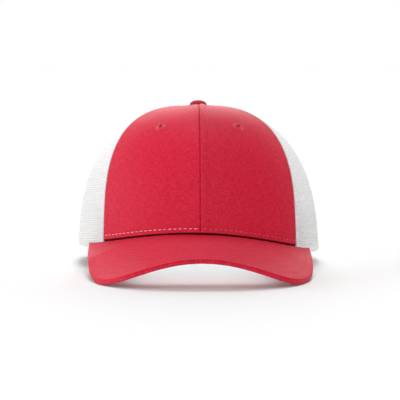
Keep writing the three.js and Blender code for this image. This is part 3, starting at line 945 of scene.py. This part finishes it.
def row_inset(x, y):
    """How far a place on the visor lies in from the outline, as the stitch rows run."""
    low, high = np.zeros_like(x), np.full_like(x, VISOR_WIDTH / 2 - 1.0)
    for _ in range(22):
        inset = (low + high) / 2
        half = VISOR_WIDTH / 2 - inset
        reach = VISOR_LENGTH + EAR_Y - ROOT_Y - VISOR_EAR_LAP - inset
        ahead = np.maximum(0.0, EAR_Y - VISOR_EAR_LAP - y) / reach
        inside = (np.abs(x) / half) ** VISOR_CORNER + ahead**VISOR_CORNER < 1.0
        low, high = np.where(inside, inset, low), np.where(inside, high, inset)
    return low


def channels(inset):
    dip = np.zeros_like(inset)
    for row in STITCH_ROWS:
        dip = np.maximum(dip, roll(np.abs(inset - row), CHANNEL_DEPTH, CHANNEL_WIDTH))
    return dip


def visor_place(share_along, share_round):
    share = np.clip(2.0 * share_along - 1.0, -1.0, 1.0)
    step = np.rint(share_round * VISOR_ROUND).astype(int)
    root = visor_root(share)
    edge_x, edge_y = visor_edge(share)
    long = np.hypot(root[:, 0] - edge_x, root[:, 1] - edge_y)
    profile = np.array(EDGE_PROFILE)
    on_edge = np.clip(step - FACE_STEPS, 0, EDGE_STEPS - 1)
    # The last line of the grid lies on the first one, at the top of the root, and is merged with it.
    under = (step >= FACE_STEPS + EDGE_STEPS) & (step < VISOR_ROUND)
    back = np.where(under, VISOR_ROUND - 1 - step, step % VISOR_ROUND)
    edge_in = profile[on_edge, 0]
    face_in = lerp(long, profile[0, 0], np.clip(back / FACE_STEPS, 0.0, 1.0))
    flat = (step < FACE_STEPS) | under | (step == VISOR_ROUND)
    scale = np.minimum(1.0, long / 3.5)
    inward = np.where(flat, face_in, edge_in * scale)
    fall = np.where(flat, np.where(under, VISOR_WALL, 0.0), profile[on_edge, 1])
    x = lerp(edge_x, root[:, 0], inward / long)
    y = lerp(edge_y, root[:, 1], inward / long)
    inset = row_inset(x, y)
    dip = np.where(flat, channels(inset) * smooth(inward, 2.0, 3.5), 0.0)
    from_root = long - inward
    dip += np.where(flat, roll(from_root, ROOT_ROLL, ROOT_ROLL_WIDTH) * np.minimum(1.0, long / 8.0), 0.0)
    fall = fall + np.where(under, -dip, dip)
    slope_x, slope_y = visor_slopes(x, y)
    z = visor_top(x, y) - fall * np.sqrt(1.0 + slope_x**2 + slope_y**2)
    # Painted shade: faintly darker in the stitch channels, and darker at the root where the visor meets the crown.
    crease_shade = np.maximum(0.08 * np.where(flat, channels(inset), 0.0) / CHANNEL_DEPTH, shade(from_root, ROOT_SHADE))
    return stack(x, y, z), stack(x, y, 0.0), crease_shade


visor = lay(grid("visor_cloth", VISOR_ALONG, VISOR_ROUND), visor_place)
focus(visor)
bpy.ops.object.mode_set(mode="EDIT")
bpy.ops.mesh.select_all(action="SELECT")
bpy.ops.mesh.remove_doubles(threshold=0.00002)
bpy.ops.mesh.select_all(action="DESELECT")
bpy.ops.mesh.select_mode(type="EDGE")
bpy.ops.mesh.select_non_manifold(extend=False)
bpy.ops.mesh.fill_holes(sides=0)
bpy.ops.mesh.select_all(action="SELECT")
bpy.ops.mesh.normals_make_consistent(inside=False)
bpy.ops.object.mode_set(mode="OBJECT")
soften(visor, 50.0)
dress(visor, [RED_TWILL], "cloth", "visor")

# %% Visor stitches
def visor_row(inset, low=False):
    share = np.linspace(-1, 1, 400)
    x, y = visor_edge(share, inset)
    angle = np.degrees(np.arctan2(x / (CROWN_WIDTH / 2), y / ROOT_Y))
    clear = np.hypot(x / (CROWN_WIDTH / 2), y / ROOT_Y) > 1.0 + 2.6 / 95.0
    kept = clear & (np.abs(angle) < VISOR_EAR_ANGLE + 10)
    x, y = x[kept], y[kept]
    slope_x, slope_y = visor_slopes(x, y)
    across = np.sqrt(1.0 + slope_x**2 + slope_y**2)
    fall = (VISOR_WALL - CHANNEL_DEPTH if low else CHANNEL_DEPTH) * across
    line = stack(x, y, visor_top(x, y) - fall)
    up = stack(-slope_x, -slope_y, 1.0) * (-1.0 if low else 1.0)
    return line, up


stitch("visor_stitches_top", [visor_row(row) for row in STITCH_ROWS], RED_THREAD, "thread", radius=0.26)
stitch("visor_stitches_under", [visor_row(row, True) for row in STITCH_ROWS], RED_THREAD, "thread", radius=0.26)

# %% [markdown]
# ## Stitches on the crown
# The front panels carry a row just above the visor, in a pale thread on the left panel and a rose one on the right,
# as painted light and shade of one row. The same row runs on round the hem, where it holds the sweatband. Each seam
# has a row on both sides, in the panel's own colour, as the tape behind it needs.

# %% Crown stitches
HEM_ROW, SEAM_ROW = 2.4, 2.0


def panel_row(panel, shares, ups):
    def surface(across, up, depth):
        relief = front_relief(panel, across, up) if panel.name.startswith("front") else 0.0
        return panel.at(across, up, relief + np.full_like(across, depth))

    return line_on(surface, shares, ups)


def seam_row(panel, high, distance, start, end):
    ups = np.linspace(start, panel.height - end, 260)
    shares = distance / panel.width(ups)
    return panel_row(panel, 1.0 - shares if high else shares, ups)


centre_lines, side_lines, mesh_lines = [], [], []
for panel in PANELS:
    shares = np.linspace(0.02, 0.98, 120)
    if panel.name.startswith("front"):
        foot_line = panel_row(panel, shares, foot(panel, shares)[0] + FOOT_ROW)
        # Painted light and shade: the left panel's row is drawn in the pale thread, the right one's in the darker rose
        # thread.
        thread = PALE_LIT_THREAD if panel.hand < 0 else EYELET_THREAD
        stitch(panel.name + "_foot_stitches", [foot_line], thread, "thread", pitch=3.6, length=2.6)
        inner_high = panel.hand < 0
        low_start, high_start = foot(panel, np.array([0.0, 1.0]))[0] + FOOT_ROW + 2
        if panel.hand > 0:
            centre_lines.append(seam_row(panel, inner_high, ALLOWANCE_WIDTH + 0.6, low_start, 16))
        side_start = low_start if inner_high else high_start
        side_lines.append(seam_row(panel, not inner_high, SEAM_ROW, side_start, 16))
    else:
        hem = panel_row(panel, shares, np.full_like(shares, HEM_ROW))
        outside = ~in_opening(hem[0], 7.0)
        mesh_lines.append((hem[0][outside], hem[1][outside]))
        for high in (False, True):
            line, normals = seam_row(panel, high, SEAM_ROW, HEM_ROW + 2, 16)
            outside = ~in_opening(line, 7.0)
            mesh_lines.append((line[outside], normals[outside]))
stitch("front_seam_stitches", centre_lines + side_lines, RED_THREAD, "thread", radius=0.22)
stitch("mesh_stitches", mesh_lines, WHITE_THREAD, "mesh", radius=0.26)

# %% [markdown]
# ## Button and eyelets
# The button is a metal shell covered with twill that is gathered under its rim. An eyelet is satin stitch:
# threads side by side over a ring, so a torus gets a rib for each thread.

# %% Button
BUTTON_RADIUS, BUTTON_HEIGHT, STEM_RADIUS, STEM_LENGTH = 6.5, 4.3, 2.4, 3.0
deselect()
bpy.ops.mesh.primitive_uv_sphere_add(segments=48, ring_count=24, radius=BUTTON_RADIUS)
button = made("button_cloth")
bpy.ops.object.mode_set(mode="EDIT")
bpy.ops.mesh.select_all(action="SELECT")
bpy.ops.mesh.bisect(plane_co=(0, 0, 0), plane_no=(0, 0, 1), clear_inner=True)
bpy.ops.mesh.select_all(action="DESELECT")
bpy.ops.mesh.select_mode(type="EDGE")
bpy.ops.mesh.select_non_manifold(extend=False)
for shrink in (0.93, 0.7, STEM_RADIUS / BUTTON_RADIUS / (0.93 * 0.7)):
    bpy.ops.mesh.extrude_edges_move()
    bpy.ops.transform.resize(value=(shrink, shrink, 1.0))
bpy.ops.mesh.extrude_edges_move(TRANSFORM_OT_translate={"value": (0, 0, -STEM_LENGTH)})
bpy.ops.mesh.edge_face_add()
bpy.ops.object.mode_set(mode="OBJECT")
local = read(button)
radius = np.hypot(local[:, 0], local[:, 1])
turn = np.arctan2(local[:, 1], local[:, 0])
domed = local[:, 2] > 1e-4
share = np.clip(local[:, 2] / BUTTON_RADIUS, 0.0, 1.0)
local[:, 2] = np.where(domed, BUTTON_HEIGHT * share**0.75, local[:, 2])
pleat = 1.0 + 0.015 * np.cos(16 * turn) * (1.0 - smooth(share, 0.0, 0.45)) * (radius > BUTTON_RADIUS / 2)
local[:, :2] *= pleat[:, None]
button_seat = np.array([0.0, APEX_SET_BACK, CROWN_HEIGHT + 0.45])
# Painted shade: the cover is darkened towards the rim, where the cloth gathers under the dome.
mark_cloth(button, local, 0.45 * (1.0 - smooth(share, 0.2, 0.9)))
write(button, to_frame(button_seat + local))
soften(button, 40.0)
dress(button, [RED_TWILL], "cloth", "button")

# %% Eyelets
SATIN_THREADS, RING_MIDDLE, RING_HALF = 34, 2.3, 1.95
for side, hand in SIDES.items():
    deselect()
    bpy.ops.mesh.primitive_torus_add(
        major_segments=SATIN_THREADS * 4, minor_segments=12, major_radius=RING_MIDDLE, minor_radius=RING_HALF
    )
    eyelet = made(f"eyelet_{side}_satin")
    local = read(eyelet)
    turn = np.arctan2(local[:, 1], local[:, 0])
    ribs = 1.0 + 0.1 * np.cos(SATIN_THREADS * turn)
    radius = np.hypot(local[:, 0], local[:, 1])
    squeezed = RING_MIDDLE + (radius - RING_MIDDLE) * ribs
    local[:, 0] *= squeezed / radius
    local[:, 1] *= squeezed / radius
    local[:, 2] = local[:, 2] * ribs * 0.95 - CLOTH_WALL / 2
    mark_cloth(eyelet, local)
    write(eyelet, local)
    place_local(eyelet, *eyelet_frame(hand))
    soften(eyelet, 60.0)
    dress(eyelet, [EYELET_THREAD], "thread", f"eyelet_{side}")

# %% [markdown]
# ## Opening, strap and sweatband
# The half moon is bound with folded tape. Behind it the strap closes with pegs in holes: the strap with the
# holes lies outside over the one with the pegs. The sweatband runs inside from one strap end to the other.

# %% Binding
BINDING_REACH, BINDING_WALL, BINDING_LIFT = 6.0, 1.0, 0.5


def opening_outline(share, margin):
    half = OPENING_WIDTH / 2 + margin
    arch = OPENING_HEIGHT - OPENING_STRAIGHT + margin
    foot = OPENING_STRAIGHT / (2 * OPENING_STRAIGHT + math.pi * arch)
    turn = np.clip((share - foot) / (1 - 2 * foot), 0.0, 1.0) * math.pi
    drop = np.minimum(np.minimum(share / foot, (1 - share) / foot), 1.0)
    return half * np.cos(turn), OPENING_STRAIGHT * drop + arch * np.sin(turn)


def on_opening(share, margin, out):
    x, height = opening_outline(share, margin)
    angle, rise = on_back(x, np.maximum(height, BINDING_LIFT))
    return on_crown(angle, rise, 0.0) + crown_normal(angle, rise) * np.asarray(out)[..., None]


# The folded tape in section: how far into the mesh from the cut edge, and how far out of its face.
FOLD = [
    (6.0, 0.45), (5.4, 1.0), (4.0, 1.1), (2.4, 1.1), (0.8, 1.15), (-0.4, 0.95), (-1.0, 0.3), (-1.2, -0.6),
    (-1.0, -1.5), (-0.4, -2.15), (0.8, -2.35), (2.4, -2.3), (4.0, -2.3), (5.4, -2.2), (6.0, -1.65),
]
fold = np.array(FOLD)


def binding_place(share, around):
    step = around * (len(FOLD) - 1)
    margin = np.interp(step, np.arange(len(FOLD)), fold[:, 0])
    out = np.interp(step, np.arange(len(FOLD)), fold[:, 1])
    return on_opening(share, margin, out), stack(share * 135.0, step, 0.0)


binding = lay(grid("opening_binding_tape", 90, len(FOLD) - 1), binding_place)
focus(binding)
bpy.ops.object.mode_set(mode="EDIT")
bpy.ops.mesh.select_all(action="SELECT")
bpy.ops.mesh.flip_normals()
bpy.ops.object.mode_set(mode="OBJECT")
thicken(binding, 0.7)
soften(binding, 50.0)
dress(binding, [WHITE_TAPE], "tape", "opening_binding")
shares = np.linspace(0.01, 0.99, 300)
binding_rows = []
for margin in (1.4, 4.6):
    line = on_opening(shares, margin, np.full_like(shares, 1.1))
    binding_rows.append((line, line - on_opening(shares, margin, np.zeros_like(shares))))
stitch("binding_stitches", binding_rows, WHITE_THREAD, "tape", radius=0.24)

# %% Snap strap
STRAP_HEIGHT, STRAP_WALL, STRAP_TUCK, STRAP_LAP = 17.0, 1.4, 12.0, 30.0
STRAP_DEPTH = MESH_WALL + CLEARANCE + BINDING_WALL + CLEARANCE
PEG_PITCH, PEG_RADIUS, PEG_STAND, PEG_COUNT, HOLE_RADIUS, SPARE_HOLES = 8.0, 1.8, 1.0, 3, 2.1, 2
STRAP_HALF = OPENING_WIDTH / 2 + STRAP_TUCK


def on_band(angle, height, depth):
    return on_crown(angle, rise_at_height(angle, height), depth, from_base=True)


def rear_angle(x):
    return 180.0 - np.degrees(np.arcsin(2 * x / CROWN_WIDTH))


def strap_sheet(name, start, end, lapped):
    """One strap from its sewn end to its rounded free end, which a lapped one carries on the outside."""
    def place(u, v):
        round_off = 6.0 * (1.0 - np.sqrt(np.clip(1.0 - (2.0 * v - 1.0) ** 2, 0.0, 1.0)))
        x = lerp(start, end - math.copysign(1.0, end - start) * round_off, u)
        into_lap = smooth(-x if end < start else x, -STRAP_LAP / 2 - 9.0, -STRAP_LAP / 2 - 1.0)
        depth = STRAP_DEPTH - (STRAP_WALL * into_lap if lapped else 0.0)
        height = lerp(0.0, STRAP_HEIGHT, v)
        return on_band(rear_angle(x), height, depth), stack(x, height, 0.0)

    sheet = lay(grid(name, 70, 14), place)
    if end > start:
        focus(sheet)
        bpy.ops.object.mode_set(mode="EDIT")
        bpy.ops.mesh.select_all(action="SELECT")
        bpy.ops.mesh.flip_normals()
        bpy.ops.object.mode_set(mode="OBJECT")
    thicken(sheet, STRAP_WALL)
    return sheet


def strap_pin(name, x, radius, low, high):
    deselect()
    bpy.ops.mesh.primitive_cylinder_add(vertices=24, radius=radius, depth=high - low)
    pin = made(name)
    angle = np.array([float(rear_angle(x))])
    rise = rise_at_height(angle, STRAP_HEIGHT / 2)
    normal = crown_normal(angle, rise)[0]
    side = np.cross([0.0, 0.0, 1.0], normal)
    side /= np.linalg.norm(side)
    middle = crown_base(angle, rise)[0] - normal * (low + high) / 2
    place_local(pin, middle, normal, side, np.cross(normal, side))
    return pin


holed = strap_sheet("strap_holed", -STRAP_HALF, STRAP_LAP / 2, True)
pegged = strap_sheet("strap_pegged", STRAP_HALF, -STRAP_LAP / 2, False)
for i in range(SPARE_HOLES):
    x = -STRAP_LAP / 2 - (i + 0.5) * PEG_PITCH
    cutter = strap_pin("cutter", x, HOLE_RADIUS, STRAP_DEPTH - 4.0, STRAP_DEPTH + 4.0)
    finish_with(holed, "BOOLEAN", operation="DIFFERENCE", object=cutter, solver="MANIFOLD")
    bpy.data.objects.remove(cutter)
pegs = []
for i in range(PEG_COUNT):
    x = (i - (PEG_COUNT - 1) / 2) * PEG_PITCH
    peg = strap_pin(f"peg_{i}", x, PEG_RADIUS, STRAP_DEPTH - STRAP_WALL - PEG_STAND, STRAP_DEPTH + 0.4)
    finish_with(peg, "BEVEL", width=0.0004, segments=3, limit_method="ANGLE")
    pegs.append(peg)
for sheet in (holed, pegged):
    finish_with(sheet, "BEVEL", width=0.00025, segments=2, limit_method="ANGLE")
strap = join("snap_strap_plastic", [holed, pegged, *pegs])
soften(strap, 40.0)
dress(strap, [STRAP_PLASTIC], "strap", "snap_strap")

# %% Sweatband
BAND_LIFT, BAND_HEIGHT, BAND_WALL = 0.6, 30.0, 1.4
BAND_DEPTH = CLOTH_WALL + CLEARANCE
BAND_END = float(rear_angle(STRAP_HALF + 2 * CLEARANCE))


def band_place(u, v):
    angle = lerp(-BAND_END, BAND_END, u)
    height = lerp(BAND_LIFT, BAND_HEIGHT, v)
    puff = 0.35 * np.sin(v * math.pi) + roll(np.minimum(v, 1.0 - v) * BAND_HEIGHT, -0.25, 1.5)
    return on_band(angle, height, BAND_DEPTH + puff), stack(angle * 1.62, height, 0.0)


sweatband = lay(grid("sweatband_cloth", 240, 24), band_place)
thicken(sweatband, BAND_WALL)
soften(sweatband, 50.0)
dress(sweatband, [WHITE_TWILL], "tape", "sweatband")
angles = np.linspace(-BAND_END + 1, BAND_END - 1, 500)
band_rows = []
for height in (3.0, 28.0):
    puff = 0.35 * math.sin(height / BAND_HEIGHT * math.pi)
    inner = on_band(angles, np.full_like(angles, height), BAND_DEPTH + BAND_WALL + puff)
    band_rows.append((inner, inner - on_band(angles, np.full_like(angles, height), BAND_DEPTH)))
stitch("sweatband_stitches", band_rows, WHITE_THREAD, "tape", radius=0.26)

# %% [markdown]
# ## Seam tapes
# Inside, a woven tape covers each seam's raw edges, sewn down by the rows of stitches seen from outside.

# %% Tapes
TAPE_WIDTH, TAPE_TOP_RADIUS = 10.0, 11.0
OVER_OPENING = OPENING_HEIGHT + BINDING_REACH + 2 * CLEARANCE
TAPES = [("front_seam_tape", "front", 1.0, BAND_HEIGHT, CLOTH_WALL), ("back_seam_tape", "back", 1.0, OVER_OPENING, MESH_WALL)]
for side, hand in SIDES.items():
    TAPES.append((f"side_seam_tape_{side}", "side", hand, BAND_HEIGHT, CLOTH_WALL))
    TAPES.append((f"rear_seam_tape_{side}", "rear", hand, BAND_HEIGHT, MESH_WALL))


def tape_point(seam, hand, across, rise, depth):
    middle = seam_angle(seam, rise)
    angle = hand * (middle + across / length_per_degree(middle, rise))
    return on_crown(angle, rise, depth)


tape_rows = []
for name, seam, hand, low, wall in TAPES:
    start = float(rise_at_height(hand * SEAMS[seam][0], low)) + 0.01
    end = float(rise_at_radius(hand * SEAMS[seam][1], TAPE_TOP_RADIUS))
    outer = wall + CLEARANCE

    def tape_place(u, v):
        across = (u - 0.5) * TAPE_WIDTH * hand
        rise = lerp(start, end, v)
        return tape_point(seam, hand, across, rise, outer), stack(across, v * 110.0, 0.0)

    tape = lay(grid(name + "_woven", 10, 70), tape_place)
    thicken(tape, 0.9)
    soften(tape, 50.0)
    dress(tape, [WHITE_TAPE], "tape", name)
    rises = np.linspace(start + 0.01, end - 0.01, 240)
    for across in (-3.4, 3.4):
        line = tape_point(seam, hand, np.full_like(rises, across), rises, outer + 0.9)
        tape_rows.append((line, line - tape_point(seam, hand, np.full_like(rises, across), rises, outer)))
stitch("tape_stitches", tape_rows, WHITE_THREAD, "tape", radius=0.24)

# %% [markdown]
# ## Floor, light and camera
# The photo is a white studio shot from straight ahead, a little above the floor: a large soft light from
# the upper left, an even white surround, and a floor that only shows where the hat shades it.

# %% Stage
deselect()
bpy.ops.mesh.primitive_plane_add(size=60.0)
floor = made("floor")
floor_material, _, floor_surface = new_material("matte_paper", Roughness=0.9)
floor_surface.inputs["Base Color"].default_value = linear("#dfdfdf")
floor.data.materials.append(floor_material)

world = bpy.data.worlds.new("studio")
bpy.context.scene.world = world
world.use_nodes = True
sky = world.node_tree
towards = add_node(sky, "ShaderNodeTexCoord").outputs["Generated"]
direction = add_node(sky, "ShaderNodeSeparateXYZ", Vector=towards).outputs
sideways = add_node(sky, "ShaderNodeMath", {"operation": "MULTIPLY_ADD"}, _0=direction["X"], _1=0.5, _2=0.5).outputs[0]
# Brightness by height or side: white at the horizon behind, a bright strip over it, and a strip in front.
REAR_GLOW, FRONT_GLOW = 2.02, 3.6
ramps = []
for along, kind, stops in [
    (direction["Z"], "EASE", [(0.1, 1.0 / REAR_GLOW), (0.3, 1.0), (0.45, 1.0), (0.65, 0.0)]),
    (direction["Z"], "EASE", [(0.3, 1.0), (0.6, 0.0)]),
    (sideways, "LINEAR", [(0.1, 0.0), (0.5, 1.0), (0.9, 0.0)]),
]:
    ramp = add_node(sky, "ShaderNodeValToRGB", Fac=along)
    ramp.color_ramp.interpolation = kind
    while len(ramp.color_ramp.elements) < len(stops):
        ramp.color_ramp.elements.new(0.5)
    for element, (place, grey) in zip(ramp.color_ramp.elements, stops):
        element.position = place
        element.color = (grey, grey, grey, 1.0)
    ramps.append(ramp.outputs["Color"])
rear = add_node(sky, "ShaderNodeMath", {"operation": "MULTIPLY"}, _0=ramps[0], _1=REAR_GLOW).outputs[0]
ahead = add_node(sky, "ShaderNodeMath", {"operation": "MULTIPLY"}, _0=ramps[1], _1=ramps[2]).outputs[0]
ahead = add_node(sky, "ShaderNodeMath", {"operation": "MULTIPLY"}, _0=ahead, _1=FRONT_GLOW).outputs[0]
behind = add_node(sky, "ShaderNodeMapRange", {"interpolation_type": "SMOOTHSTEP"}, Value=direction["Y"])
behind.inputs["From Min"].default_value = -0.1
behind.inputs["From Max"].default_value = 0.7
glow = add_node(sky, "ShaderNodeMix", {"data_type": "FLOAT"}, _0=behind.outputs[0], _2=ahead, _3=rear)
sky.nodes["Background"].inputs["Color"].default_value = linear("#ffffff")
sky.links.new(glow.outputs[0], sky.nodes["Background"].inputs["Strength"])
bpy.context.scene.view_settings.view_transform = "Standard"


def sun(name, azimuth, elevation, power, width):
    """A far soft light, so that the floor is lit alike everywhere. Azimuth 0 is in front, 90 on the right."""
    deselect()
    bpy.ops.object.light_add(
        type="SUN", rotation=(math.radians(90 - elevation), 0.0, math.radians(azimuth)), location=(0.0, 0.0, 2.0)
    )
    light = bpy.context.object
    light.name = name
    light.data.energy = power
    light.data.angle = math.radians(width)
    return light


sun("key_left", -85, 8, 2.35, 40)
sun("overhead", 20, 50, 1.15, 50)
sun("back_high", 180, 68, 1.68, 30)
sun("back_low", 180, 22, 0.8, 30)

# %% [markdown]
# Little light reaches under the hat, where the photo is pale, so a low soft lamp under the visor and the crown
# lifts the floor seen through the arch.

# %% Lamp under the hat
deselect()
bpy.ops.object.light_add(type="AREA", location=(0.0, -0.04, 0.012))
low_lamp = bpy.context.object
low_lamp.name = "low_lamp"
low_lamp.data.shape = "RECTANGLE"
low_lamp.data.size, low_lamp.data.size_y = 0.1, 0.14
low_lamp.data.energy = 0.036
low_lamp.data.color = (0.86, 1.0, 1.0)  # against the red that the visor's lining throws on the floor
low_lamp.visible_camera = False

# %% Camera
CAMERA_AZIMUTH, CAMERA_ELEVATION, CAMERA_DISTANCE, FRAME_WIDTH_SEEN = -0.87, 4.5, 1.3, 0.293
CAMERA_TARGET = (0.0006, 0.0, 0.0486)
SENSOR = 36.0
azimuth, elevation = math.radians(CAMERA_AZIMUTH), math.radians(CAMERA_ELEVATION)
behind = CAMERA_DISTANCE * math.cos(elevation)
deselect()
bpy.ops.object.camera_add(
    location=(
        CAMERA_TARGET[0] + behind * math.sin(azimuth),
        CAMERA_TARGET[1] - behind * math.cos(azimuth),
        CAMERA_TARGET[2] + CAMERA_DISTANCE * math.sin(elevation),
    ),
    rotation=(math.pi / 2 - elevation, 0.0, azimuth),
)
camera = bpy.context.object
camera.data.sensor_width = SENSOR
camera.data.lens = SENSOR * CAMERA_DISTANCE / FRAME_WIDTH_SEEN
bpy.context.scene.camera = camera
